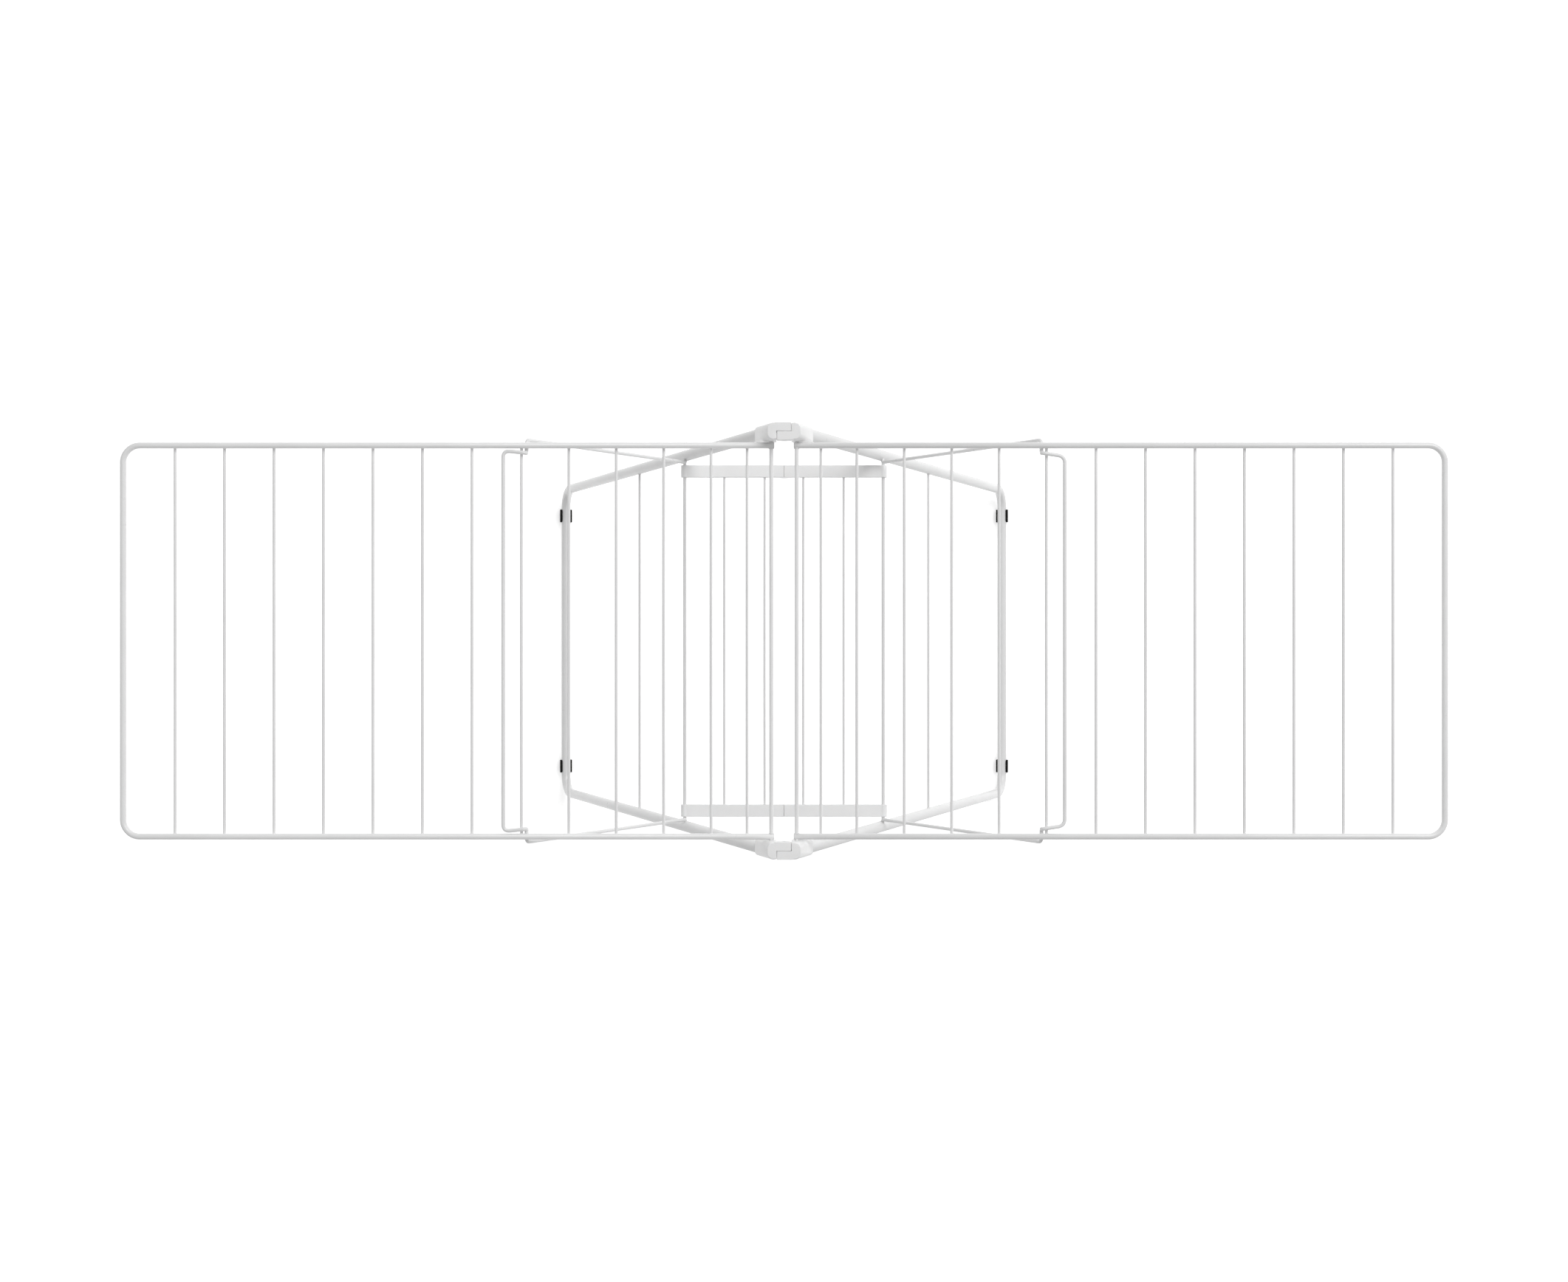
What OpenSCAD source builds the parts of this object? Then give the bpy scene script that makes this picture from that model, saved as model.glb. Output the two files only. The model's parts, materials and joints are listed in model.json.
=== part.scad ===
// Folding clothes-drying rack with two wings, two wire props and a lower shelf.
// X is the length (one wing to the other), Y the width, Z up, origin on the floor under the centre.
// Every paired piece is drawn on the +X side and mirrored for the -X side.

/* [Legs] */
// Height of the top of the hinges above the floor
rack_height = 1030; // [1000:1:1060]
// Lean of each leg from vertical, in degrees
leg_angle = 20.9; // [20:0.1:22]
// Outer diameter of the leg tube
leg_tube_d = 16; // [15:0.5:17]
// Wall of the leg tube
leg_tube_wall = 1; // [0.8:0.1:1.5]
// Distance of the leg tube's centre line from the middle of the rack
leg_tube_y = 273.6; // [272:0.1:276]
// Distance of the leg tube's centre line from the hinge axis
leg_offset = 9.5; // [9.5:0.1:11]
// Bend radius at the foot corners of the leg tube
leg_bend_r = 35; // [25:1:36]
// Diameter of the wire between the two tubes of a leg
cross_wire_d = 3.8; // [3:0.1:5]
// Distance of that wire from the hinge axis along the leg
cross_wire_along = 619; // [600:1:700]

/* [Feet] */
// Length of a rubber foot along the floor bar
foot_length = 23; // [16:1:23]
// Rubber thickness of the clip round the tube
foot_wall = 2.8; // [2:0.1:2.9]
// Rubber thickness under the tube
foot_pad = 3; // [3:0.5:5]
// Width of the flat sole
sole_width = 16; // [12:1:18]
// Half angle of the clip's mouth, which faces up the leg
foot_mouth = 63; // [50:1:75]
// Distance of a foot from the middle of the rack
foot_y = 227; // [180:1:227]

/* [Hinges] */
// Inner face of the hinge, from the middle of the rack
hinge_y_in = 259.6; // [259.5:0.1:260]
// Outer face of the hinge, from the middle of the rack
hinge_y_out = 282.5; // [282.5:0.1:286]
// Radius of the knuckles
knuckle_r = 9.6; // [9:0.1:9.6]
// Diameter of the hinge pin
hinge_pin_d = 6; // [5:0.5:7]
// Half length of the hinge cap along X
cap_half = 22.6; // [22:0.1:25]
// Length of the leg socket along the leg
socket_length = 54; // [50:1:70]
// Distance of the tube rivet from the hinge axis along the leg
rivet_along = 41; // [38:1:44]
// Diameter of the tube rivet
rivet_d = 4.4; // [4:0.2:5]

/* [Wings] */
// Height of the rails' centre lines
rail_z = 1005; // [1004:1:1007]
// Outer diameter of the rail tube
rail_d = 8; // [7:0.5:8]
// Wall of the rail tube
rail_wall = 0.8; // [0.6:0.1:1]
// Distance of a rail's centre line from the middle of the rack
rail_y = 254.8; // [254:0.1:255]
// Outer end of the wing frame, centre line
wing_end = 861; // [850:1:900]
// Bend radius at the outer corners of a wing
wing_bend_r = 22; // [15:1:40]
// Distance of the wing pivot from the middle of the rack
pivot_x = 16.6; // [16:0.1:17]
// Diameter of the pivot crossbar
crossbar_d = 5.3; // [5:0.1:5.5]
// Number of drying wires on each wing
wire_count = 13; // [13:1:13]
// Diameter of a drying wire
wire_d = 3.9; // [3.5:0.1:4]
// Place of the first wire, next to the pivot
first_wire_x = 48.2; // [46:0.1:50]
// Place of the wire that the prop hooks over
hook_wire_x = 342.8; // [342:0.1:344]
// Spacing of the wires on the pivot side of the hook wire
inner_pitch = 61.9; // [61:0.1:62]
// Spacing of the wires beyond the hook wire
outer_pitch = 64.63; // [64:0.01:66]

/* [Props] */
// Diameter of the prop wire
prop_d = 5; // [4:0.1:5]
// Distance of a prop's side wire from the middle of the rack
prop_y = 262.7; // [262.7:0.1:262.9]
// Place of a prop's lower end along X
prop_foot_x = 145; // [144:0.5:146]
// Height of a prop's lower end
prop_foot_z = 678.5; // [678:0.5:680]
// Distance of the hook from the middle of the rack
hook_y = 245; // [240:0.5:245]
// How far the prop's crossbar lies outboard of the hook wire
prop_reach = 23; // [18:1:26]
// Distance from the middle of the rack at which the hand-bent left hooks meet their crossbar
left_hook_end_y = 248; // [240:0.5:248]
// The same distance on the right
right_hook_end_y = 240.5; // [240:0.5:248]

/* [Shelf] */
// Place of a shelf's end rod along X
shelf_rod_x = 146.7; // [146:0.1:147]
// Diameter of the end rods
shelf_rod_d = 5; // [4:0.1:5]
// Distance of a shelf bar's centre from the middle of the rack
bar_y = 250.7; // [250:0.1:250.7]
// Width of a shelf bar
bar_w = 18; // [14:1:18]
// Thickness of a shelf bar
bar_t = 10; // [8:1:10]
// Places of the shelf wires along X
shelf_wire_x = [28.6, 88.2];
// Diameter of a shelf wire
shelf_wire_d = 3.5; // [3:0.1:4]
// Drop of the centre pivot below the middle of the bars
shelf_pivot_drop = 7; // [7:0.5:8]
// Diameter of the centre pivot pins
shelf_pin_d = 6; // [5:0.5:6]

/* [Hidden] */
$fn = 48;
powder_white = [0.93, 0.93, 0.92];
plastic_white = [0.96, 0.96, 0.95];
zinc = [0.75, 0.76, 0.78];
rubber_black = [0.10, 0.10, 0.11];
play = 0.05;            // radial clearance of a running pin
pin_sink = 0.8;         // how far a pin's ends lie below the faces round them
gap = 0.3;              // clearance between faces that pass each other
lean_s = sin(leg_angle);
lean_c = cos(leg_angle);
tube_r = leg_tube_d / 2;
axis_z = rack_height - knuckle_r;
leg_top = [leg_offset * lean_c, axis_z + leg_offset * lean_s];
foot_bar_z = foot_pad + tube_r;
leg_length = (leg_top[1] - foot_bar_z) / lean_c;
foot_bar_x = leg_top[0] + leg_length * lean_s;
tube_inner_y = leg_tube_y - tube_r;
tube_start = 25;        // the tube's upper end, from the hinge axis along the leg
seam_y = (hinge_y_in + hinge_y_out) / 2;
slit_x = knuckle_r + gap;
slit_gap = 0.7;                     // width of the slit between a cap and the other half's knuckle
socket_in = leg_offset - gap;       // inner face of the socket, from the leg line
socket_out = 11;                    // outer face of the socket, from the leg line
collar_end = 34;                    // where the flare of the shell ends, down the leg
web_half = 8;                       // half height of the knuckle's web
crossbar_half = 270;                // half length of a pivot crossbar
rail_overhang = 4;                  // rail beyond the pivot crossbar
wire_z = rail_z - (rail_d + wire_d) / 2;
wire_half = rail_y + 2;
hook_clear = 6.6;                   // from the hook wire's centre to the prop wire's centre
prop_under_z = rail_z - (rail_d + prop_d) / 2;
prop_over_z = wire_z + hook_clear - 0.4;
prop_bend = 6;                      // length of wire taken up by each side of a bend
prop_end_bend = 9;                  // the same for the bends at the ends of the crossbar
prop_sides = 16;
shelf_z = leg_top[1] - (shelf_rod_x - leg_top[0]) * lean_c / lean_s;
bar_end = shelf_rod_x + 4.8;
butt_gap = 0.4;                     // gap between the ends of two bars that meet
bar_in = bar_y - bar_w / 2;
bar_out = bar_y + bar_w / 2;
shelf_pivot_z = shelf_z - shelf_pivot_drop;
shelf_lug_r = 7;
rod_boss = 0.6;                     // how far the boss round a rod stands out of its bar
shelf_bore_depth = 6;
sides = ["left", "right"];
ends = ["back", "front"];
wire_x = [for (i = [0 : wire_count - 1])
    i == 0 ? first_wire_x : hook_wire_x + (i - 5) * (i < 5 ? inner_pitch : outer_pitch)];
wire_names = [for (s = sides, i = [1 : wire_count]) str("wing_wire_", s, "_", i)];

// A point given as [distance outboard of the leg line, distance down the leg], in X and Z.
function leg_point(u, w) = leg_top + w * [lean_s, -lean_c] + u * [lean_c, lean_s];

// Draws its children on the +X side for "right" and mirrored for "left".
module on_side(side) {
    if (side == "right") children();
    else mirror([1, 0, 0]) children();
}

// Draws its children at the +Y end for "back" and mirrored for "front".
module at_end(end) {
    if (end == "back") children();
    else mirror([0, 1, 0]) children();
}

// Turns into the leg's own space: x outboard of the leg line, -z down the leg.
module leg_space() {
    translate([leg_top[0], 0, leg_top[1]]) rotate([0, -leg_angle, 0]) children();
}

// A cylinder along Y from y0 to y1 at the place x, z.
module rod_y(d, y0, y1, x, z) {
    translate([x, y1, z]) rotate([90, 0, 0]) cylinder(d = d, h = y1 - y0);
}

// An outline in X and Z, extruded along Y from y0 to y1.
module slab_y(y0, y1) {
    translate([0, y1, 0]) rotate([90, 0, 0]) linear_extrude(y1 - y0) children();
}

module tube_ring(d, wall) {
    difference() {
        circle(d = d);
        circle(d = d - 2 * wall);
    }
}

// A U of tube in the XY plane: two sides from x0, joined by a bar at x1.
module u_tube(d, wall, half, x0, x1, bend) {
    for (m = [0, 1]) mirror([0, m, 0]) {
        translate([x0, half, 0]) rotate([0, 90, 0]) linear_extrude(x1 - bend - x0) tube_ring(d, wall);
        translate([x1 - bend, half - bend, 0]) rotate_extrude(angle = 90)
            translate([bend, 0]) tube_ring(d, wall);
    }
    translate([x1, half - bend, 0]) rotate([90, 0, 0]) linear_extrude(2 * (half - bend)) tube_ring(d, wall);
}

// One leg: a tube bent to a U, its bar on the floor side, drilled for the socket rivets.
module leg_frame() {
    color(powder_white) difference() {
        leg_space() rotate([0, 90, 0])
            u_tube(leg_tube_d, leg_tube_wall, leg_tube_y, tube_start, leg_length, leg_bend_r);
        for (e = ends) at_end(e) socket_rivet_hole();
    }
}

module leg_cross_wire() {
    place = leg_point(0, cross_wire_along);
    color(powder_white) rod_y(cross_wire_d, -tube_inner_y, tube_inner_y, place[0], place[1]);
}

// A rubber clip on the floor bar, with a flat sole and its mouth facing up the leg.
module foot() {
    sole = sole_width / 2;
    far = leg_tube_d;
    color(rubber_black) slab_y(foot_y - foot_length / 2, foot_y + foot_length / 2)
        translate([foot_bar_x, foot_bar_z]) difference() {
            union() {
                circle(r = tube_r + foot_wall);
                polygon([[-sole, -foot_bar_z], [sole, -foot_bar_z], [sole + 1, 1 - foot_bar_z],
                    [sole + 1, -tube_r / 2], [-sole - 1, -tube_r / 2], [-sole - 1, 1 - foot_bar_z]]);
            }
            circle(r = tube_r);
            rotate(leg_angle) polygon([[0, 0], [far * sin(foot_mouth), far * cos(foot_mouth)],
                [far, 2 * far], [-far, 2 * far], [-far * sin(foot_mouth), far * cos(foot_mouth)]]);
        }
}

module socket_rivet_hole() {
    place = leg_point(0, rivet_along);
    rod_y(rivet_d, hinge_y_in, hinge_y_out, place[0], place[1]);
}

// Plan of the hinge cap on one side of the slit: square at the slit, round at its outer end.
module cap_plan(inset) {
    corner = 9;
    intersection() {
        translate([slit_x, hinge_y_in + inset]) square([cap_half, hinge_y_out - hinge_y_in - 2 * inset]);
        hull() for (y = [hinge_y_in + corner, hinge_y_out - corner])
            translate([cap_half - corner, y]) circle(r = corner - inset);
    }
}

// Cross-section of the socket round the leg tube, with rounded outer corners.
module socket_plan() {
    corner = 5;
    hull() {
        for (y = [hinge_y_in + corner, hinge_y_out - corner])
            translate([socket_out - corner, y]) circle(r = corner);
        for (y = [hinge_y_in + 2, hinge_y_out - 2]) translate([2 - socket_in, y]) circle(r = 2);
    }
}

// The shell of a hinge half, which narrows from its flat cap to the end of its socket.
module hinge_shell() {
    w_slit = (slit_x - leg_top[0] + socket_in * lean_c) / lean_s;
    slit_low = leg_point(-socket_in, w_slit)[1];
    hull() {
        translate([0, 0, rack_height - 2]) linear_extrude(2) cap_plan(1.2);
        translate([0, 0, rack_height - 9]) linear_extrude(6) cap_plan(0);
        translate([slit_x, hinge_y_in, slit_low]) cube([1, hinge_y_out - hinge_y_in, 2]);
        leg_space() translate([0, 0, -collar_end]) linear_extrude(1) socket_plan();
        leg_space() translate([0, 0, -socket_length]) linear_extrude(2) socket_plan();
    }
}

// Side outline of the knuckle, flush with the cap on top, and the web that joins it to its shell.
module knuckle_outline() {
    flat_start = slit_gap - slit_x;
    translate([0, axis_z]) circle(r = knuckle_r);
    translate([0, axis_z - web_half]) square([slit_x + 2, 2 * web_half]);
    translate([flat_start, axis_z]) square([slit_x + 2 - flat_start, knuckle_r]);
}

// A moulded hinge half. Its knuckle is in the outer or the inner layer, and the other half's in the other.
module hinge_half(outer_knuckle, pin_hole_d) {
    knuckle_in = outer_knuckle ? seam_y + gap / 2 : hinge_y_in;
    knuckle_out = outer_knuckle ? hinge_y_out : seam_y - gap / 2;
    color(plastic_white) difference() {
        union() {
            hinge_shell();
            slab_y(knuckle_in, knuckle_out) knuckle_outline();
        }
        leg_space() translate([0, leg_tube_y, -socket_length - 1])
            cylinder(d = leg_tube_d, h = socket_length + 1 - tube_start);
        rod_y(crossbar_d + 2 * play, hinge_y_in - 1, crossbar_half + 1, pivot_x, rail_z);
        rod_y(pin_hole_d, hinge_y_in - 1, hinge_y_out + 1, 0, axis_z);
        socket_rivet_hole();
    }
}

// The four hinge halves are one moulding, turned half a turn from side to side.
module placed_hinge_half(side, end) {
    outer_knuckle = (side == "left") == (end == "back");
    pin_hole_d = side == "left" ? hinge_pin_d : hinge_pin_d + 2 * play;
    on_side(side) at_end(end) hinge_half(outer_knuckle, pin_hole_d);
}

module hinge_pins() {
    color(zinc) for (e = ends) at_end(e)
        rod_y(hinge_pin_d, hinge_y_in + pin_sink, hinge_y_out - pin_sink, 0, axis_z);
}

module socket_rivets() {
    place = leg_point(0, rivet_along);
    color(zinc) for (e = ends) at_end(e)
        rod_y(rivet_d, hinge_y_in, hinge_y_out, place[0], place[1]);
}

// A wing's U-shaped rail, drilled at its open end for the pivot crossbar.
module wing_frame() {
    color(powder_white) difference() {
        translate([0, 0, rail_z])
            u_tube(rail_d, rail_wall, rail_y, pivot_x - rail_overhang, wing_end, wing_bend_r);
        rod_y(crossbar_d, -rail_y - rail_d, rail_y + rail_d, pivot_x, rail_z);
    }
}

module wing_crossbar() {
    color(powder_white) rod_y(crossbar_d, -crossbar_half, crossbar_half, pivot_x, rail_z);
}

module wing_wire(i) {
    color(powder_white) rod_y(wire_d, -wire_half, wire_half, wire_x[i], wire_z);
}

// Points of the prop wire's +Y half, from its lower end to its crossbar.
function prop_half(end_y) = [
    [prop_foot_x, prop_y, prop_foot_z],
    [hook_wire_x - hook_clear, prop_y, prop_under_z],
    [hook_wire_x - hook_clear, hook_y, prop_under_z],
    [hook_wire_x - hook_clear, hook_y, prop_over_z],
    [hook_wire_x + prop_reach, end_y, prop_over_z]];

// The whole path of a prop wire: one half and its mirror image.
function prop_points(end_y) =
    let (half = prop_half(end_y))
    concat(half, [for (i = [len(half) - 1 : -1 : 0]) [half[i][0], -half[i][1], half[i][2]]]);

// How much wire each side of a corner takes up: more where the hooks meet the crossbar.
function bend_at(i, n) = i == n / 2 - 1 || i == n / 2 ? prop_end_bend : prop_bend;

function unit(v) = v / norm(v);

// Rounds every inner corner of a prop's path with a short curve on each side of the corner.
function rounded_path(p, steps = 5) = concat([p[0]],
    [for (i = [1 : len(p) - 2])
        let (bend = bend_at(i, len(p)),
            reach_in = min(bend, norm(p[i] - p[i - 1]) / 2.05),
            reach_out = min(bend, norm(p[i + 1] - p[i]) / 2.05),
            a = p[i] + reach_in * unit(p[i - 1] - p[i]),
            b = p[i] + reach_out * unit(p[i + 1] - p[i]))
        for (k = [0 : steps])
            let (t = k / steps)
            (1 - t) * (1 - t) * a + 2 * t * (1 - t) * p[i] + t * t * b],
    [p[len(p) - 1]]);

function tangent_at(p, i) = unit(p[min(i + 1, len(p) - 1)] - p[max(i - 1, 0)]);
function across(v, t) = unit(v - (v * t) * t);

// A round wire of diameter d along a path, as one closed solid.
module swept_wire(path, d) {
    n = len(path);
    normals = [for (i = 0, v = across([0, 1, 0], tangent_at(path, 0)); i < n;
        i = i + 1, v = i < n ? across(v, tangent_at(path, i)) : v) v];
    points = [for (i = [0 : n - 1])
        let (t = tangent_at(path, i), u = normals[i], w = cross(t, u))
        for (k = [0 : prop_sides - 1])
            let (a = 360 * k / prop_sides)
            path[i] + d / 2 * (cos(a) * u + sin(a) * w)];
    walls = [for (i = [0 : n - 2], k = [0 : prop_sides - 1])
        let (j = (k + 1) % prop_sides, a = i * prop_sides, b = a + prop_sides)
        [a + k, b + k, b + j, a + j]];
    start_cap = [for (k = [0 : prop_sides - 1]) k];
    end_cap = [for (k = [prop_sides - 1 : -1 : 0]) (n - 1) * prop_sides + k];
    polyhedron(points, concat([start_cap], walls, [end_cap]));
}

// A prop: one bent wire from the leg, under the rail and over the hook wire, and back.
module prop(side) {
    end_y = side == "left" ? left_hook_end_y : right_hook_end_y;
    color(powder_white) swept_wire(rounded_path(prop_points(end_y)), prop_d);
}

// Side outline of a shelf bar with a boss round its rod, without its centre lug.
module shelf_bar_outline() {
    half = bar_t / 2;
    start = butt_gap / 2;
    translate([0, shelf_z]) polygon([[start, -half], [bar_end - 3, -half], [bar_end, -half + 3],
        [bar_end, half - 3], [bar_end - 3, half], [start, half]]);
    translate([shelf_rod_x, shelf_z]) circle(r = half + rod_boss);
}

// Side outline of the centre lug, which hangs the pivot below the bar.
module shelf_lug_outline() {
    half = bar_t / 2;
    translate([0, shelf_pivot_z]) circle(r = shelf_lug_r);
    translate([0, shelf_z]) polygon([[1, -2], [2.5, -12], [14, -half], [14, -2]]);
}

// A shelf bar. The left bars have their lugs in the outer half of the width, the right ones in the inner.
module shelf_bar(outer_lug, rod_hole_d, pin_hole_d) {
    lug_in = outer_lug ? bar_y + gap / 2 : bar_in;
    lug_out = outer_lug ? bar_out : bar_y - gap / 2;
    relief_in = outer_lug ? bar_in - 1 : bar_y - gap / 2;
    relief_out = outer_lug ? bar_y + gap / 2 : bar_out + 1;
    color(plastic_white) difference() {
        union() {
            difference() {
                slab_y(bar_in, bar_out) shelf_bar_outline();
                rod_y(2 * (shelf_lug_r + gap), relief_in, relief_out, 0, shelf_pivot_z);
            }
            slab_y(lug_in, lug_out) shelf_lug_outline();
        }
        rod_y(rod_hole_d, bar_in - 1, bar_out + 1, shelf_rod_x, shelf_z);
        rod_y(pin_hole_d, bar_in - 1, bar_out + 1, 0, shelf_pivot_z);
        for (x = shelf_wire_x) rod_y(shelf_wire_d, bar_in - 1, bar_in + shelf_bore_depth, x, shelf_z);
    }
}

module placed_shelf_bar(side, end) {
    turns = 2 * play;
    if (side == "left") on_side(side) at_end(end) shelf_bar(true, shelf_rod_d + turns, shelf_pin_d);
    else on_side(side) at_end(end) shelf_bar(false, shelf_rod_d, shelf_pin_d + turns);
}

module shelf_wire(i) {
    half = bar_in + shelf_bore_depth;
    color(powder_white) rod_y(shelf_wire_d, -half, half, shelf_wire_x[i], shelf_z);
}

// The left rod runs from tube to tube and carries the left bars; the right one ends inside its bars.
module shelf_rod(side) {
    half = side == "left" ? tube_inner_y : bar_out;
    color(powder_white) rod_y(shelf_rod_d, -half, half, shelf_rod_x, shelf_z);
}

// Short pins on the right leg's tubes, in line with the right rod.
module shelf_stub_pins() {
    color(powder_white) for (e = ends) at_end(e)
        rod_y(shelf_rod_d, bar_out + gap, tube_inner_y, shelf_rod_x, shelf_z);
}

module shelf_centre_pins() {
    color(zinc) for (e = ends) at_end(e)
        rod_y(shelf_pin_d, bar_in + pin_sink, bar_out - pin_sink, 0, shelf_pivot_z);
}

for (s = sides) {
    on_side(s) leg_frame();
    on_side(s) leg_cross_wire();
    on_side(s) socket_rivets();
    on_side(s) wing_frame();
    on_side(s) wing_crossbar();
    on_side(s) prop(s);
    on_side(s) shelf_rod(s);
    for (e = ends) {
        on_side(s) at_end(e) foot();
        placed_hinge_half(s, e);
        placed_shelf_bar(s, e);
    }
    for (i = [1 : wire_count])
        on_side(s) wing_wire(i - 1);
    for (i = [1, 2])
        on_side(s) shelf_wire(i - 1);
}
hinge_pins();
shelf_stub_pins();  // shelf_stub_pins_right
shelf_centre_pins();
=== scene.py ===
"""Folding clothes-drying rack: looks, stage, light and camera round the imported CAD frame."""

import json
import math

import bmesh
import bpy
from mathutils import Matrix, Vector, noise


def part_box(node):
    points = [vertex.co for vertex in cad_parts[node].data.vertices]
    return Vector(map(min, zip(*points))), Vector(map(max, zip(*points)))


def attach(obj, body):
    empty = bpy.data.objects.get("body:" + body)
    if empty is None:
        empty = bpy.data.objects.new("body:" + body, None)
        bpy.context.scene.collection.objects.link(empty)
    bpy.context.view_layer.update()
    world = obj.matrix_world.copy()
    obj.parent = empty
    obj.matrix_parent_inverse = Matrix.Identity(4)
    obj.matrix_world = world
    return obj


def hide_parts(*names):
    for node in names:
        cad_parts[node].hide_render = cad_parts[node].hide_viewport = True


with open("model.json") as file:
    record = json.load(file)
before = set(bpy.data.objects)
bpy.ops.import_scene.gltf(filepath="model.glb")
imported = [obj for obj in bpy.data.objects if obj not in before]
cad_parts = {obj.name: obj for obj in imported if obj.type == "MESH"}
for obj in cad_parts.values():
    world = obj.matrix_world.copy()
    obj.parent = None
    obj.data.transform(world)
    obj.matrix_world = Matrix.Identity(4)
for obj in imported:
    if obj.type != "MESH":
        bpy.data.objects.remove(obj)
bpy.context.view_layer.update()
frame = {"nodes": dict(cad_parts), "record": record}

MM = 0.001
SIDES = {"left": -1, "right": 1}  # the sign of X on each side
ENDS = {"back": 1, "front": -1}  # the sign of Y at each end

LEG_TUBE_RADIUS = 8.0 * MM
RAIL_WALL = 0.8 * MM
WING_WIRES = range(1, 14)
SHELF_WIRES = range(1, 3)


# ---------------------------------------------------------------- materials


def shader_material(name, base, roughness, **sockets):
    """A Principled material with its constants set on the shader's own sockets."""
    made = bpy.data.materials.new(name)
    made.use_nodes = True
    shader = made.node_tree.nodes["Principled BSDF"]
    shader.inputs["Base Color"].default_value = (*base, 1.0)
    shader.inputs["Roughness"].default_value = roughness
    for socket, value in sockets.items():
        shader.inputs[socket.replace("_", " ")].default_value = value
    return made, made.node_tree, shader


def noise_node(tree, scale, detail=4.0, rough=0.5):
    """Noise in object space, which is the shared frame in metres."""
    place = tree.nodes.new("ShaderNodeTexCoord")
    made = tree.nodes.new("ShaderNodeTexNoise")
    made.inputs["Scale"].default_value = scale
    made.inputs["Detail"].default_value = detail
    made.inputs["Roughness"].default_value = rough
    tree.links.new(place.outputs["Object"], made.inputs["Vector"])
    return made.outputs["Fac"]


def ramp_node(tree, value, low, high, place_low=0.3, place_high=0.7):
    """Maps a 0 to 1 value to a blend between two grey or RGB values."""
    made = tree.nodes.new("ShaderNodeValToRGB")
    stops = zip(made.color_ramp.elements, (place_low, place_high), (low, high))
    for stop, place, tone in stops:
        stop.position = place
        stop.color = (*tone, 1.0) if isinstance(tone, tuple) else (tone,) * 3 + (1.0,)
    tree.links.new(value, made.inputs["Fac"])
    return made.outputs["Color"]


def bump_chain(tree, shader, layers):
    """Stacks bumps, each given as (height output, depth in metres)."""
    normal = None
    for height, depth in layers:
        bump = tree.nodes.new("ShaderNodeBump")
        bump.inputs["Strength"].default_value = 1.0
        bump.inputs["Distance"].default_value = depth
        tree.links.new(height, bump.inputs["Height"])
        if normal is not None:
            tree.links.new(normal, bump.inputs["Normal"])
        normal = bump.outputs["Normal"]
    tree.links.new(normal, shader.inputs["Normal"])


def tinted(base, share, most=math.inf):
    """A base colour made lighter or darker, up to a limit."""
    return tuple(min(most, c * share) for c in base)


def powder_coat(name, base):
    """White powder coat on steel: orange peel, faint cloudiness and an uneven satin gloss."""
    peel_depth, grain_depth = 0.00018, 0.00004
    made, tree, shader = shader_material(
        name, base, 0.34, Specular_IOR_Level=0.5, Coat_Weight=0.25, Coat_Roughness=0.22
    )
    cloud = noise_node(tree, 14.0, 3.0)
    tint = ramp_node(tree, cloud, tinted(base, 0.965), tinted(base, 1.02, most=1.0))
    tree.links.new(tint, shader.inputs["Base Color"])
    gloss = ramp_node(tree, noise_node(tree, 90.0, 5.0), 0.27, 0.43)
    tree.links.new(gloss, shader.inputs["Roughness"])
    peel = noise_node(tree, 560.0, 2.0, 0.4)
    grain = noise_node(tree, 2600.0, 2.0, 0.5)
    bump_chain(tree, shader, [(peel, peel_depth), (grain, grain_depth)])
    return made


def moulded_plastic(name, base):
    """White moulded plastic with a fine spark-eroded texture and a trace of light through it."""
    sink_depth, texture_depth = 0.00015, 0.00003
    made, tree, shader = shader_material(
        name, base, 0.46, Specular_IOR_Level=0.45, Subsurface_Weight=0.08, Subsurface_Scale=0.002
    )
    shader.inputs["Subsurface Radius"].default_value = (1.0, 0.9, 0.8)
    flow = noise_node(tree, 35.0, 4.0)
    tint = ramp_node(tree, flow, tinted(base, 0.97), tinted(base, 1.01, most=1.0))
    tree.links.new(tint, shader.inputs["Base Color"])
    gloss = ramp_node(tree, noise_node(tree, 220.0, 5.0), 0.38, 0.55)
    tree.links.new(gloss, shader.inputs["Roughness"])
    texture = noise_node(tree, 3200.0, 3.0, 0.6)
    sink = noise_node(tree, 60.0, 1.0, 0.3)
    bump_chain(tree, shader, [(sink, sink_depth), (texture, texture_depth)])
    return made


def black_rubber(name, base):
    """Matte black rubber with a fine grain and a little dust in its hollows."""
    grain_depth, dust_lift = 0.00006, 0.004
    made, tree, shader = shader_material(name, base, 0.75, Specular_IOR_Level=0.16)
    dust = noise_node(tree, 300.0, 6.0, 0.6)
    tint = ramp_node(tree, dust, base, tuple(c * 2.0 + dust_lift for c in base), 0.6, 0.9)
    tree.links.new(tint, shader.inputs["Base Color"])
    gloss = ramp_node(tree, noise_node(tree, 500.0, 4.0), 0.6, 0.85)
    tree.links.new(gloss, shader.inputs["Roughness"])
    bump_chain(tree, shader, [(noise_node(tree, 2400.0, 3.0, 0.6), grain_depth)])
    return made


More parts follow.
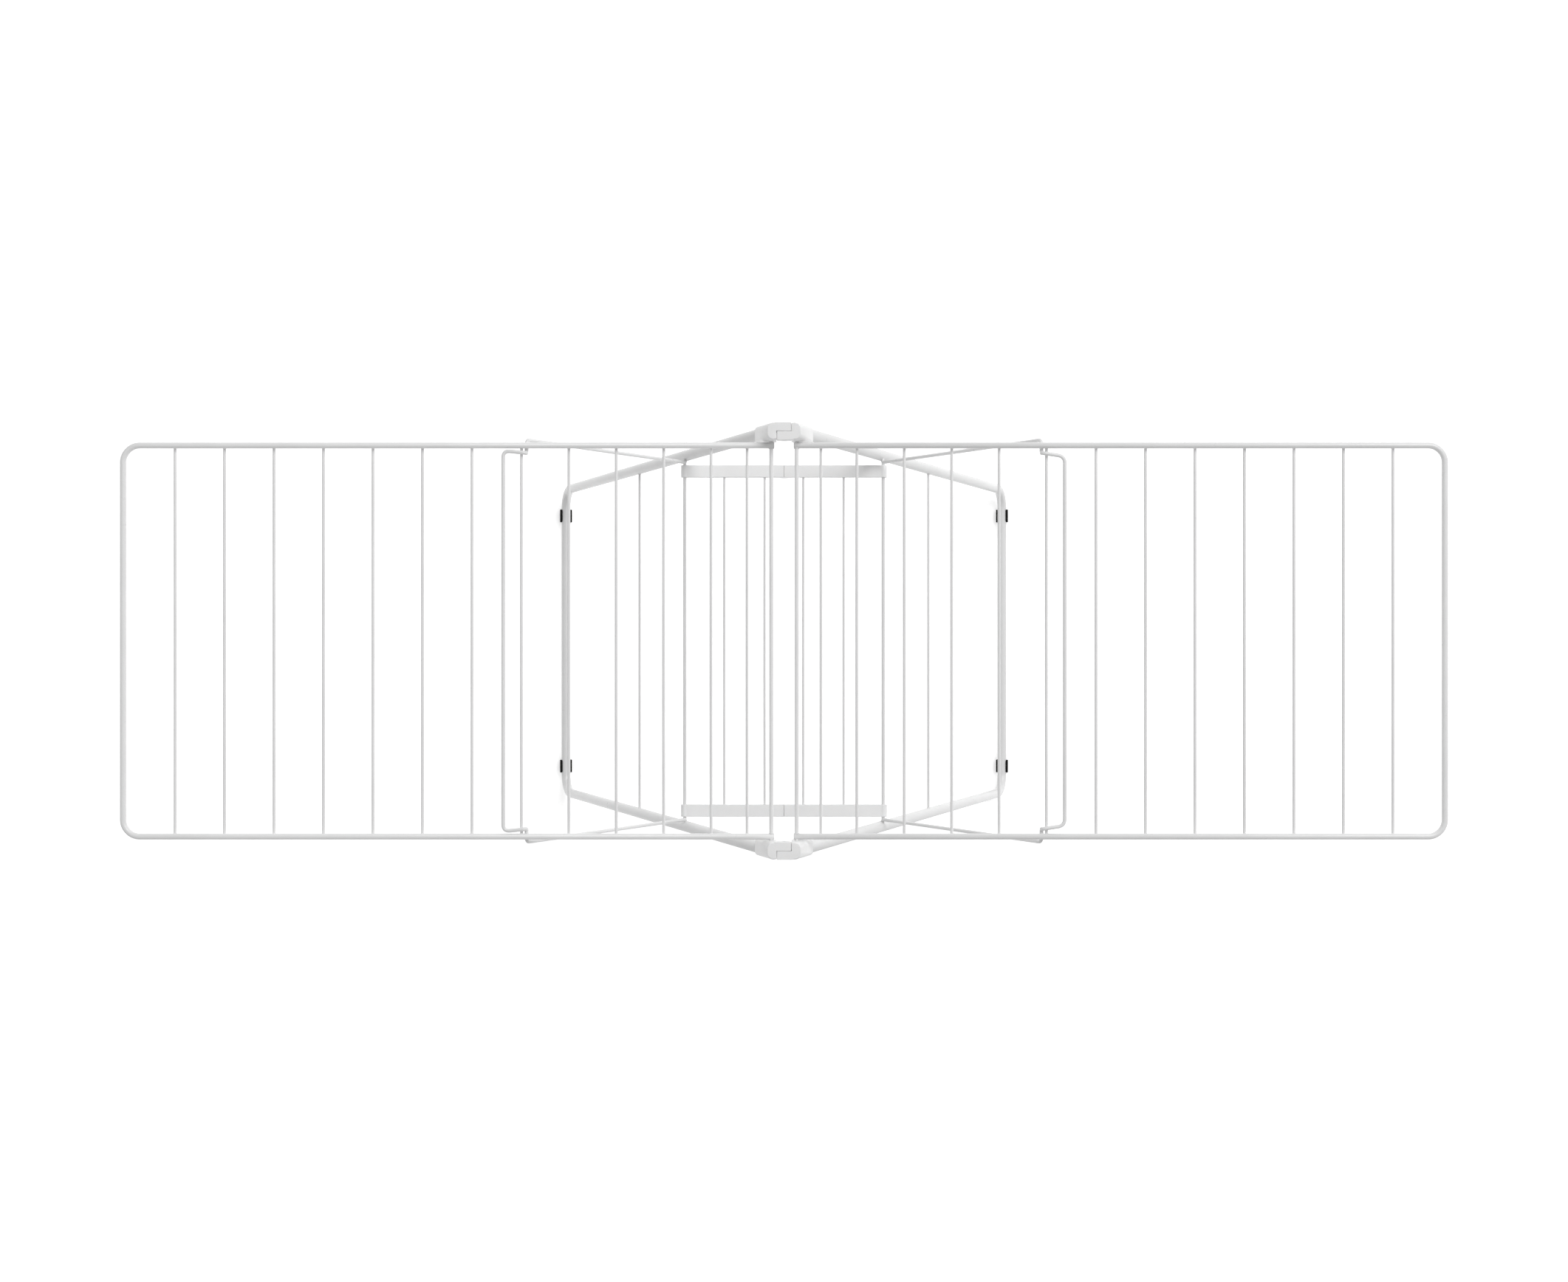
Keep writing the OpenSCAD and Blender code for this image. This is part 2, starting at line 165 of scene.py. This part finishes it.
def zinc_plate(name, base):
    """Zinc-plated steel with a fine grain and a faint passivated tint."""
    grain_depth, passivated = 0.00002, (1.05, 1.0, 0.9)
    made, tree, shader = shader_material(name, base, 0.34, Metallic=1.0)
    yellowed = tuple(c * share for c, share in zip(base, passivated))
    tint = ramp_node(tree, noise_node(tree, 150.0, 3.0), base, yellowed)
    tree.links.new(tint, shader.inputs["Base Color"])
    gloss = ramp_node(tree, noise_node(tree, 900.0, 5.0), 0.26, 0.48)
    tree.links.new(gloss, shader.inputs["Roughness"])
    bump_chain(tree, shader, [(noise_node(tree, 4000.0, 2.0), grain_depth)])
    return made


materials = {
    "coated_tube": powder_coat("coated_tube", (0.80, 0.80, 0.80)),
    "coated_wire": powder_coat("coated_wire", (0.78, 0.78, 0.78)),
    "hinge_plastic": moulded_plastic("hinge_plastic", (0.87, 0.87, 0.87)),
    "shelf_plastic": moulded_plastic("shelf_plastic", (0.90, 0.90, 0.90)),
    "rubber_foot": black_rubber("rubber_foot", (0.004, 0.004, 0.004)),
    "zinc_pin": zinc_plate("zinc_pin", (0.62, 0.63, 0.65)),
}


def dress_frame():
    """Puts each CAD node's own material in its slots."""
    for part in frame["record"]["subparts"]:
        mesh = frame["nodes"][part["node"]].data
        mesh.materials.clear()
        mesh.materials.append(materials[part["material_slot"]])


dress_frame()


# ---------------------------------------------------------------- mesh tools


def body_of(node):
    """The body that a CAD node rides on."""
    bodies = frame["record"]["behaviour"]["bodies"]
    return next(body for body, nodes in bodies.items() if node in nodes)


def centre_and_half(node):
    """Middle and half size of a CAD node's box."""
    low, high = (Vector(corner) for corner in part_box(node))
    return (low + high) / 2, (high - low) / 2


def object_from(name, mesh, body, slot, replaced=()):
    """Links a mesh as a finished piece: on its body, in its material, and in place of any nodes named."""
    piece = bpy.data.objects.new(name, mesh)
    bpy.context.scene.collection.objects.link(piece)
    mesh.materials.clear()
    mesh.materials.append(materials[slot])
    mesh.polygons.foreach_set("use_smooth", [True] * len(mesh.polygons))
    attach(piece, body)
    if replaced:
        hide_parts(*replaced)
    return piece


def mesh_from(name, builder):
    """Runs a function on an empty bmesh and returns the result as a mesh with outward normals."""
    form = bmesh.new()
    builder(form)
    bmesh.ops.recalc_face_normals(form, faces=form.faces)
    mesh = bpy.data.meshes.new(name)
    form.to_mesh(mesh)
    form.free()
    return mesh


def modified(mesh, *steps):
    """Applies modifiers, each given as (type, settings), and returns the new mesh."""
    holder = bpy.data.objects.new("holder", mesh)
    bpy.context.scene.collection.objects.link(holder)
    for kind, settings in steps:
        modifier = holder.modifiers.new(kind.lower(), kind)
        for setting, value in settings.items():
            setattr(modifier, setting, value)
    seen = holder.evaluated_get(bpy.context.evaluated_depsgraph_get())
    made = bpy.data.meshes.new_from_object(seen)
    bpy.data.objects.remove(holder)
    return made


def softened_copy(node, voxel, passes, keep, shape=None):
    """A CAD solid as one moulding: remeshed finely, edges rounded, shaped if asked, then thinned."""
    weld_distance = 0.002 * MM

    def welded(form):
        form.from_mesh(frame["nodes"][node].data)
        bmesh.ops.remove_doubles(form, verts=form.verts, dist=weld_distance)

    mesh = modified(
        mesh_from(node + "_solid", welded),
        ("REMESH", {"mode": "VOXEL", "voxel_size": voxel}),
        ("SMOOTH", {"factor": 0.5, "iterations": passes}),
    )
    if shape:
        for vertex in mesh.vertices:
            vertex.co = shape(vertex.co.copy())
    return modified(mesh, ("DECIMATE", {"ratio": keep}), ("WEIGHTED_NORMAL", {"weight": 80}))


def ring(form, centre, across, up, radius, count):
    """A circle of new vertices in the plane of two unit vectors."""
    turn = [2 * math.pi * k / count for k in range(count)]
    return [form.verts.new(centre + radius * (math.cos(a) * across + math.sin(a) * up)) for a in turn]


def bridge(form, low, high):
    """Joins two rings of equal count with a band of quads."""
    for k in range(len(low)):
        j = (k + 1) % len(low)
        form.faces.new((low[k], low[j], high[j], high[k]))


def skin(form, rings):
    """Joins rings of equal count, and closes the first and last with a fan to their middle."""
    for low, high in zip(rings, rings[1:]):
        bridge(form, low, high)
    for end in (rings[0], rings[-1]):
        middle = form.verts.new(sum((v.co for v in end), Vector()) / len(end))
        for k in range(len(end)):
            form.faces.new((end[k], end[(k + 1) % len(end)], middle))


def turned(form, place, axis, profile, count=32):
    """A turned form: profile is a list of (distance along the axis, radius)."""
    axis = Vector(axis)
    across = axis.orthogonal().normalized()
    up = axis.cross(across)
    rings = []
    for along, radius in profile:
        rings.append(ring(form, Vector(place) + along * axis, across, up, radius, count))
    skin(form, rings)


def rounded_path(points, bends, steps):
    """The points with each inner corner turned into a short curve that starts and ends a bend away."""
    just_over_half = 2.05  # divides a stretch, so that the curves at its two ends never meet
    path = [points[0]]
    for before, corner, after, bend in zip(points, points[1:], points[2:], bends):
        reach_in = min(bend, (corner - before).length / just_over_half)
        reach_out = min(bend, (after - corner).length / just_over_half)
        start = corner + reach_in * (before - corner).normalized()
        end = corner + reach_out * (after - corner).normalized()
        for k in range(steps + 1):
            t = k / steps
            path.append((1 - t) ** 2 * start + 2 * t * (1 - t) * corner + t * t * end)
    return path + [points[-1]]


def u_path(start, along, length, half_width, bend, steps=20):
    """Centre line of a U of tube: out from start for a length, across in Y, and back again."""
    side = [start + Vector((0, half_width, 0))]
    for k in range(steps + 1):
        turn = math.pi / 2 * k / steps
        out = length - bend * (1 - math.sin(turn))
        wide = half_width - bend * (1 - math.cos(turn))
        side.append(start + out * along + Vector((0, wide, 0)))
    return side + [Vector((point.x, -point.y, point.z)) for point in reversed(side)]


def hollow_swept(form, path, radius, wall, count):
    """A tube along a flat path, open at both ends, its cut edges slightly broken."""
    broken, broken_share = 0.15 * MM, 0.5
    along = [(path[1] - path[0]).normalized(), (path[-2] - path[-1]).normalized()]
    centres = [path[0], path[0] + broken * along[0], *path[1:-1]]
    centres += [path[-1] + broken * along[1], path[-1]]
    sizes = [radius - broken] + [radius] * (len(centres) - 2) + [radius - broken]
    level = Vector((0, 1, 0)).cross(along[0])
    skins = []
    for bore in (False, True):
        rings = []
        for k, (centre, size) in enumerate(zip(centres, sizes)):
            tangent = (centres[min(k + 1, len(centres) - 1)] - centres[max(k - 1, 0)]).normalized()
            shown = radius - wall + (radius - size) * broken_share if bore else size
            rings.append(ring(form, centre, level, tangent.cross(level), shown, count))
        skins.append(rings)
    outside, inside = skins
    for rings in skins:
        for low, high in zip(rings, rings[1:]):
            bridge(form, low, high)
    for end in (0, -1):
        bridge(form, outside[end], inside[end])


def swept(form, path, radius, count):
    """A round wire along a path, without twist, its two cut ends rounded off."""
    ends = [(0.0, 0.55), (0.12, 0.80), (0.35, 0.96), (0.6, 1.0)]  # depth and size, in radii
    along = [(path[-1] - path[-2]).normalized(), (path[0] - path[1]).normalized()]
    head = [path[0] - depth * radius * along[1] for depth, _ in ends]
    tail = [path[-1] - depth * radius * along[0] for depth, _ in reversed(ends)]
    sizes = [size for _, size in ends]
    centres = head + path[1:-1] + tail
    radii = sizes + [1.0] * (len(path) - 2) + sizes[::-1]
    across = along[1].orthogonal()
    rings = []
    for k, (centre, size) in enumerate(zip(centres, radii)):
        tangent = (centres[min(k + 1, len(centres) - 1)] - centres[max(k - 1, 0)]).normalized()
        across = (across - across.dot(tangent) * tangent).normalized()
        rings.append(ring(form, centre, across, tangent.cross(across), size * radius, count))
    skin(form, rings)


def weld_bead(form, centre, half, seed):
    """A lumpy bead of weld metal under powder coat, with the given half sizes."""
    centre, half = Vector(centre), Vector(half)
    rows, count = 9, 18
    lump_share, lump_size, seed_step = 0.16, 1.7, Vector((seed * 3.1, seed * 1.7, 0.0))
    rings = []
    for row in range(1, rows):
        slope = math.pi * row / rows
        wide = math.sin(slope)
        loop = []
        for k in range(count):
            turn = 2 * math.pi * k / count
            way = Vector((wide * math.cos(turn), wide * math.sin(turn), math.cos(slope)))
            lump = 1.0 + lump_share * noise.noise(way * lump_size + seed_step)
            loop.append(form.verts.new(centre + Vector(h * w * lump for h, w in zip(half, way))))
        rings.append(loop)
    skin(form, rings)


# ---------------------------------------------------------------- moulded parts


def hinge_pieces():
    """The four hinge halves, with moulded edges, and the seam of their knuckles closed to a hairline.

    With a hairline of 0.03 mm the halves meet as the legs fold.
    """
    seam_half, hairline = 0.3 * MM, 0.06 * MM
    groove_half, flat_half, edge_depth, depth_kept = 1.0 * MM, 9.0 * MM, 1.0 * MM, 0.12
    for side in SIDES:
        for end in ENDS:
            node = f"hinge_half_{side}_{end}"
            seam_y, top = centre_and_half(node)[0].y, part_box(node)[1][2]

            def seamed(point):
                off = point.y - seam_y
                if abs(off) < seam_half:
                    point.y = seam_y + math.copysign(hairline, off)
                if abs(off) < groove_half and abs(point.x) < flat_half and point.z > top - edge_depth:
                    point.z = top - depth_kept * (top - point.z)
                return point

            mesh = softened_copy(node, voxel=0.42 * MM, passes=3, keep=0.16, shape=seamed)
            object_from(f"hinge_shell_{side}_{end}", mesh, body_of(node), "hinge_plastic", [node])


def shelf_bar_pieces():
    """The four shelf bars, with moulded edges, butted to a hairline where their ends meet."""
    butt_half, hairline = 0.5 * MM, 0.02 * MM
    groove_half, edge_depth, depth_kept = 1.2 * MM, 1.1 * MM, 0.1
    pin_to_lug_top, lug_top_to_bar_top = 7.5 * MM, 4.5 * MM
    pin, _ = centre_and_half("shelf_centre_pins")
    lug_top = pin.z + pin_to_lug_top
    top = lug_top + lug_top_to_bar_top
    for side, sign in SIDES.items():
        for end in ENDS:
            node = f"shelf_bar_{side}_{end}"

            def butted(point):
                if point.z > lug_top and abs(point.x) < butt_half:
                    point.x = sign * hairline
                if abs(point.x) < groove_half and top - edge_depth < point.z < top:
                    point.z = top - depth_kept * (top - point.z)
                return point

            mesh = softened_copy(node, voxel=0.5 * MM, passes=3, keep=0.12, shape=butted)
            object_from(f"shelf_moulding_{side}_{end}", mesh, body_of(node), "shelf_plastic", [node])


def foot_pieces():
    """The four rubber feet: rounded edges, lips that round off towards their ends, and a grooved sole."""
    groove_pitch, groove_depth, sole_depth, plain_end = 3.6 * MM, 0.9 * MM, 1.6 * MM, 1.5
    lip_corner, lip_turn, lip_fade = 3.2 * MM, math.radians(60), math.radians(55)
    leg_lean = math.radians(20.9)
    for side, sign in SIDES.items():
        bar_low, bar_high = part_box(f"leg_frame_{side}")
        bar_x = sign * (max(abs(bar_low[0]), abs(bar_high[0])) - LEG_TUBE_RADIUS)
        bar_z = bar_low[2] + LEG_TUBE_RADIUS
        mouth_way = -sign * leg_lean
        for end in ENDS:
            node = f"foot_{side}_{end}"
            middle, half = centre_and_half(node)

            def shaped(point):
                along = abs(point.y - middle.y)
                near_sole = max(0.0, 1.0 - point.z / sole_depth)
                inside = max(0.0, min(1.0, (half.y - along) / MM - plain_end))
                wave = max(0.0, math.cos(2 * math.pi * along / groove_pitch)) ** 2
                raised = point + Vector((0, 0, groove_depth * near_sole * inside * wave))
                across, up = point.x - bar_x, point.z - bar_z
                turn = math.atan2(across, up) - mouth_way
                radius = math.hypot(across, up)
                into_corner = max(0.0, 1.0 - (half.y - along) / lip_corner)
                drop = lip_corner * (1 - math.sqrt(max(0.0, 1 - into_corner**2))) / radius
                lip = max(0.0, 1.0 - (abs(turn) - lip_turn) / lip_fade)
                turn += math.copysign(drop * min(1.0, lip), turn)
                moved_across = radius * math.sin(turn + mouth_way) - across
                moved_up = radius * math.cos(turn + mouth_way) - up
                return raised + Vector((moved_across, 0, moved_up))

            mesh = softened_copy(node, voxel=0.34 * MM, passes=12, keep=0.35, shape=shaped)
            object_from(f"foot_pad_{side}_{end}", mesh, body_of(node), "rubber_foot", [node])


# ---------------------------------------------------------------- wire and metal parts


def wire_pieces():
    """The straight wires of each wing and shelf half: each bowed by a hair, with rounded cut ends."""
    most_bow, bow_spread = 0.5 * MM, 37.0
    stations = [-1.0, -0.97, -0.8, -0.6, -0.4, -0.2, 0.0, 0.2, 0.4, 0.6, 0.8, 0.97, 1.0]
    for side in SIDES:
        for part, numbers in (("wing", WING_WIRES), ("shelf", SHELF_WIRES)):
            nodes = [f"{part}_wire_{side}_{number}" for number in numbers]

            def wires(form):
                for node in nodes:
                    middle, half = centre_and_half(node)
                    bow = most_bow * noise.noise(middle * bow_spread)
                    path = [middle + Vector((bow * (1 - s * s), half.y * s, 0)) for s in stations]
                    swept(form, path, half.x, 20)

            name = f"{part}_wires_{side}"
            object_from(name, mesh_from(name, wires), body_of(nodes[0]), "coated_wire", nodes)


def prop_pieces():
    """The two wire supports: out of the leg tube, under the rail, over the hook wire, and back."""
    hook, hook_half = centre_and_half("wing_wire_right_6")
    _, rail_half = centre_and_half("wing_frame_right")
    prop_radius, prop_y, hook_y = 2.5 * MM, 262.7 * MM, 245.0 * MM
    foot_x, foot_z, tip_y = 145.0 * MM, 678.5 * MM, 270.0 * MM
    hook_clear, hook_sink, reach = 6.6 * MM, 0.4 * MM, 23.0 * MM
    end_y = {"left": 248.0 * MM, "right": 240.5 * MM}
    bend, end_bend, foot_bend = 6.0 * MM, 9.0 * MM, 3.5 * MM
    bends = [foot_bend] + [bend] * 3 + [end_bend] * 2 + [bend] * 3 + [foot_bend]
    rail_z = hook.z + hook_half.z + rail_half.z
    under_z = rail_z - rail_half.z - prop_radius
    over_z = hook.z + hook_clear - hook_sink
    side_of_hook = hook.x - hook_clear
    for side, sign in SIDES.items():
        half = [
            (foot_x, tip_y, foot_z),
            (foot_x, prop_y, foot_z),
            (side_of_hook, prop_y, under_z),
            (side_of_hook, hook_y, under_z),
            (side_of_hook, hook_y, over_z),
            (hook.x + reach, end_y[side], over_z),
        ]
        points = [Vector((sign * x, y, z)) for x, y, z in half]
        points += [Vector((sign * x, -y, z)) for x, y, z in reversed(half)]
        path = rounded_path(points, bends, steps=12)
        mesh = mesh_from(f"prop_wire_{side}", lambda form: swept(form, path, prop_radius, 24))
        object_from(f"prop_wire_{side}", mesh, body_of(f"prop_{side}"), "coated_wire", [f"prop_{side}"])


def leg_tube_pieces():
    """Each leg's bent tube, smooth round its bends."""
    pin, _ = centre_and_half("hinge_pins")
    wall, bend, leg_offset, tube_start = 1.0 * MM, 35.0 * MM, 9.5 * MM, 25.0 * MM
    for side, sign in SIDES.items():
        node = f"leg_frame_{side}"
        low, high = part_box(node)
        bar_x = max(abs(low[0]), abs(high[0])) - LEG_TUBE_RADIUS
        bar_z = low[2] + LEG_TUBE_RADIUS
        reach = math.hypot(bar_x, pin.z - bar_z)
        lean = math.atan2(bar_x, pin.z - bar_z) - math.asin(leg_offset / reach)
        down = Vector((sign * math.sin(lean), 0, -math.cos(lean)))
        top = Vector((sign * leg_offset * math.cos(lean), 0, pin.z + leg_offset * math.sin(lean)))
        length = math.sqrt(reach**2 - leg_offset**2)
        half_width = high[1] - LEG_TUBE_RADIUS
        path = u_path(top + tube_start * down, down, length - tube_start, half_width, bend)
        mesh = mesh_from("tube", lambda form: hollow_swept(form, path, LEG_TUBE_RADIUS, wall, 48))
        object_from(f"leg_tube_{side}", mesh, body_of(node), "coated_tube", [node])


def rail_pieces():
    """Each wing's bent rail, smooth round its corners."""
    bend = 22.0 * MM
    for side, sign in SIDES.items():
        node = f"wing_frame_{side}"
        middle, half = centre_and_half(node)
        radius = half.z
        start = Vector((middle.x - sign * half.x, 0, middle.z))
        path = u_path(start, Vector((sign, 0, 0)), 2 * half.x - radius, half.y - radius, bend)
        mesh = mesh_from("rail", lambda form: hollow_swept(form, path, radius, RAIL_WALL, 36))
        object_from(f"rail_{side}", mesh, body_of(node), "coated_tube", [node])


def wing_weld_pieces():
    """A bead where every drying wire and crossbar meets the rails, and a plug in each open rail end."""
    wire_bead, bar_bead = (2.4 * MM, 3.0 * MM, 1.3 * MM), (3.5 * MM, 1.3 * MM, 3.4 * MM)
    bar_gap, end_seeds, bar_seed = 0.1 * MM, 20, 50
    for side, sign in SIDES.items():
        frame_node = f"wing_frame_{side}"
        rail_middle, rail_box = centre_and_half(frame_node)
        rail_radius = rail_box.z
        rail_y = rail_box.y - rail_radius
        inner_end = rail_middle.x - sign * rail_box.x
        bar, bar_half = centre_and_half(f"wing_crossbar_{side}")

        def beads(form):
            for number in WING_WIRES:
                wire, wire_half = centre_and_half(f"wing_wire_{side}_{number}")
                for end in ENDS.values():
                    contact = (wire.x, end * rail_y, wire.z + wire_half.z)
                    weld_bead(form, contact, wire_bead, number + end_seeds * end * sign)
            for end in ENDS.values():
                contact = (bar.x, end * (rail_y - rail_radius - bar_gap), bar.z)
                weld_bead(form, contact, bar_bead, bar_seed + end * sign)

        def plugs(form):
            bore = rail_radius - RAIL_WALL
            profile = [(0.1 * MM, 0.2 * bore), (0.2 * MM, 0.6 * bore), (0.5 * MM, 0.9 * bore)]
            profile += [(0.9 * MM, 0.99 * bore), (1.9 * MM, 0.99 * bore)]
            for end in ENDS.values():
                turned(form, (inner_end, end * rail_y, bar.z), (sign, 0, 0), profile)

        body = body_of(frame_node)
        object_from(f"wing_welds_{side}", mesh_from("beads", beads), body, "coated_wire")
        object_from(f"rail_plugs_{side}", mesh_from("plugs", plugs), body, "hinge_plastic")


def leg_weld_pieces():
    """Beads where the cross wire and the shelf rod or its stubs meet the leg tubes."""
    rods = {"left": "shelf_rod_left", "right": "shelf_stub_pins_right"}
    bead_past_wire, bead_depth, tube_gap = 0.9 * MM, 1.5 * MM, 0.1 * MM
    end_seeds, first_seed = 5, 70
    for side, sign in SIDES.items():

        def beads(form):
            for seed, node in enumerate((f"leg_cross_wire_{side}", rods[side]), first_seed):
                wire, wire_half = centre_and_half(node)
                spread = wire_half.x + bead_past_wire
                for end in ENDS.values():
                    contact = (wire.x, end * (wire_half.y + tube_gap), wire.z)
                    weld_bead(form, contact, (spread, bead_depth, spread), seed + end_seeds * end * sign)

        mesh = mesh_from("beads", beads)
        object_from(f"leg_welds_{side}", mesh, body_of(f"leg_frame_{side}"), "coated_tube")


def pin_head_pieces():
    """Peened heads in the recesses over the ends of the hinge and shelf pins."""
    sink, clearance = 0.8 * MM, 0.05 * MM
    recesses = {
        "hinge_pin_heads": ("hinge_pins", "hinge_half_left_back"),
        "shelf_pin_heads": ("shelf_centre_pins", "shelf_bar_left_back"),
    }
    for name, (pins, neighbour) in recesses.items():
        pin, pin_half = centre_and_half(pins)
        inner_face, outer_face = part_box(neighbour)[0][1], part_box(neighbour)[1][1]
        radius = pin_half.x - clearance
        profile = [(0.0, radius), (0.30 * sink, radius), (0.62 * sink, 0.86 * radius)]
        profile += [(0.80 * sink, 0.58 * radius), (0.84 * sink, 0.32 * radius)]
        profile += [(0.62 * sink, 0.20 * radius)]

        def heads(form):
            for end in ENDS.values():
                outer_place = (pin.x, end * (outer_face - sink), pin.z)
                inner_place = (pin.x, end * (inner_face + sink), pin.z)
                turned(form, outer_place, (0, end, 0), profile)
                turned(form, inner_place, (0, -end, 0), profile)

        object_from(name, mesh_from(name, heads), body_of(pins), "zinc_pin")


def rivet_pieces():
    """The socket rivets, with a rounded rim and the hollow left by the mandrel."""
    for side in SIDES:
        node = f"socket_rivets_{side}"
        rivet, rivet_half = centre_and_half(node)
        radius = rivet_half.x
        inner_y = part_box(f"hinge_half_{side}_back")[0][1]
        length = rivet_half.y - inner_y
        rim = [(0.0, 0.80), (0.3 * MM, 0.97), (0.6 * MM, 1.0)]
        hollow = [(length - 0.6 * MM, 1.0), (length - 0.25 * MM, 0.97), (length - 0.02 * MM, 0.82)]
        hollow += [(length - 0.02 * MM, 0.52), (length - 0.3 * MM, 0.42), (length - 1.4 * MM, 0.40)]
        profile = [(along, size * radius) for along, size in rim + hollow]

        def rivets(form):
            for end in ENDS.values():
                turned(form, (rivet.x, end * inner_y, rivet.z), (0, end, 0), profile, 28)

        mesh = mesh_from(f"rivets_{side}", rivets)
        object_from(f"rivets_{side}", mesh, body_of(node), "zinc_pin", [node])


hinge_pieces()
shelf_bar_pieces()
foot_pieces()
leg_tube_pieces()
rail_pieces()
wire_pieces()
prop_pieces()
wing_weld_pieces()
leg_weld_pieces()
pin_head_pieces()
rivet_pieces()


# ---------------------------------------------------------------- stage, light and camera


def stage_floor(size, near_glow, far_glow, fade_start, fade_end):
    """A plain pale floor that runs out of every view, and glows less the further it is."""
    bpy.ops.mesh.primitive_plane_add(size=size, location=(0, 0, 0))
    floor = bpy.context.object
    floor.name = "floor"
    made, tree, shader = shader_material("pale_floor", (0.93, 0.93, 0.93), 0.9)
    place = tree.nodes.new("ShaderNodeTexCoord")
    distance = tree.nodes.new("ShaderNodeVectorMath")
    distance.operation = "LENGTH"
    tree.links.new(place.outputs["Object"], distance.inputs[0])
    fade = tree.nodes.new("ShaderNodeMapRange")
    fade.interpolation_type = "SMOOTHSTEP"
    tree.links.new(distance.outputs["Value"], fade.inputs["Value"])
    limits = {"From Min": fade_start, "From Max": fade_end, "To Min": near_glow, "To Max": far_glow}
    for socket, value in limits.items():
        fade.inputs[socket].default_value = value
    shader.inputs["Emission Color"].default_value = (1, 1, 1, 1)
    tree.links.new(fade.outputs["Result"], shader.inputs["Emission Strength"])
    floor.data.materials.append(made)


def soft_light(name, place, size, power):
    """A large area light that points at the middle of the rack."""
    aim = (0, 0, 0.6)
    data = bpy.data.lights.new(name, "AREA")
    data.shape = "RECTANGLE"
    data.size, data.size_y = size
    data.energy = power
    lamp = bpy.data.objects.new(name, data)
    lamp.location = place
    lamp.rotation_euler = (Vector(aim) - Vector(place)).to_track_quat("-Z", "Y").to_euler()
    bpy.context.scene.collection.objects.link(lamp)


def sky_light(strength):
    """The same white light from every side."""
    world = bpy.data.worlds.new("studio")
    world.use_nodes = True
    background = world.node_tree.nodes["Background"]
    background.inputs["Color"].default_value = (1, 1, 1, 1)
    background.inputs["Strength"].default_value = strength
    bpy.context.scene.world = world


def overhead_camera():
    """Straight above the middle of the rack, with the back of the rack at the top of the picture."""
    height, focal_in_widths = 3.535, 1.2384
    data = bpy.data.cameras.new("camera")
    data.sensor_width = 36.0
    data.lens = focal_in_widths * data.sensor_width
    camera = bpy.data.objects.new("camera", data)
    camera.location = (0, 0, height)
    bpy.context.scene.collection.objects.link(camera)
    bpy.context.scene.camera = camera


stage_floor(size=80.0, near_glow=0.45, far_glow=0.03, fade_start=3.0, fade_end=16.0)
sky_light(0.40)
soft_light("key", (4.2, 5.0, 8.6), (6.0, 6.0), 590.0)
soft_light("fill", (-5.0, -2.0, 7.0), (6.0, 6.0), 40.0)
bpy.context.scene.view_settings.view_transform = "Standard"
overhead_camera()
